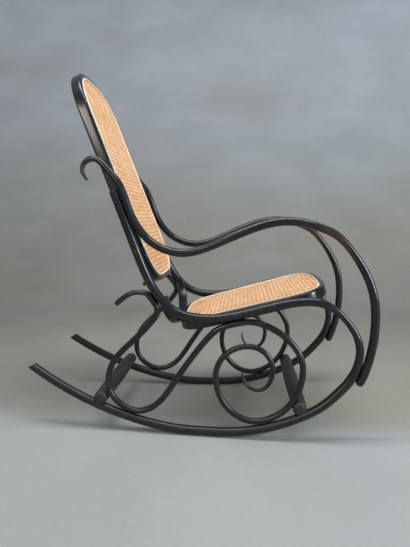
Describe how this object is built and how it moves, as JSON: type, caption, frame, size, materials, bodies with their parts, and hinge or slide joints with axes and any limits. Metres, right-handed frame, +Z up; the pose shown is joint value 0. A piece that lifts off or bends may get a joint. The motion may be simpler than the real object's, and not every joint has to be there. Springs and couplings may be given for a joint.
{
  "type": "bentwood rocking chair",
  "caption": "Rocking chair of steam-bent rods: each side has a frame rod, an arm rod and a scroll on a runner, with a woven cane seat and back.",
  "frame": {"origin": "centre of the bounding box's underside, on the floor midway between the runners", "axes": "+Z up, -Y the way the sitter faces, +X to the sitter's left"},
  "size_m": [0.4884, 1.017, 1.0567],
  "materials": {
    "lacquer": "near-black satin lacquer on bent beech, worn brown at some edges",
    "stain": "dark brown stain, nearly matt",
    "cane": "pale woven cane webbing, matt",
    "reed": "pale reed spline, matt",
    "steel": "darkened steel"
  },
  "bodies": {
    "root": {"right_side_rod": "lacquer", "right_arm_rod": "lacquer", "right_scroll_rod": "lacquer", "right_rear_seat_bolt": "steel", "right_rear_seat_nut": "steel", "right_front_seat_bolt": "steel", "right_front_seat_nut": "steel", "right_lower_back_screw": "steel", "right_upper_back_screw": "steel", "right_upper_arm_screw": "steel", "right_lower_arm_screw": "steel", "right_upright_screw": "steel", "right_hook_screw": "steel", "right_rear_runner_screw": "steel", "right_rail_screw": "steel", "right_front_runner_screw": "steel", "right_bow_screw": "steel", "right_front_stretcher_screw": "steel", "right_rear_stretcher_screw": "steel", "left_side_rod": "lacquer", "left_arm_rod": "lacquer", "left_scroll_rod": "lacquer", "left_rear_seat_bolt": "steel", "left_rear_seat_nut": "steel", "left_front_seat_bolt": "steel", "left_front_seat_nut": "steel", "left_lower_back_screw": "steel", "left_upper_back_screw": "steel", "left_upper_arm_screw": "steel", "left_lower_arm_screw": "steel", "left_upright_screw": "steel", "left_hook_screw": "steel", "left_rear_runner_screw": "steel", "left_rail_screw": "steel", "left_front_runner_screw": "steel", "left_bow_screw": "steel", "left_front_stretcher_screw": "steel", "left_rear_stretcher_screw": "steel", "seat_hoop": "lacquer", "seat_cane": "cane", "seat_spline": "reed", "seat_bow": "lacquer", "bow_seat_screw": "steel", "back_hoop": "lacquer", "back_cane": "cane", "back_spline": "reed", "front_stretcher": "stain", "rear_stretcher": "stain"}
  },
  "joints": []
}
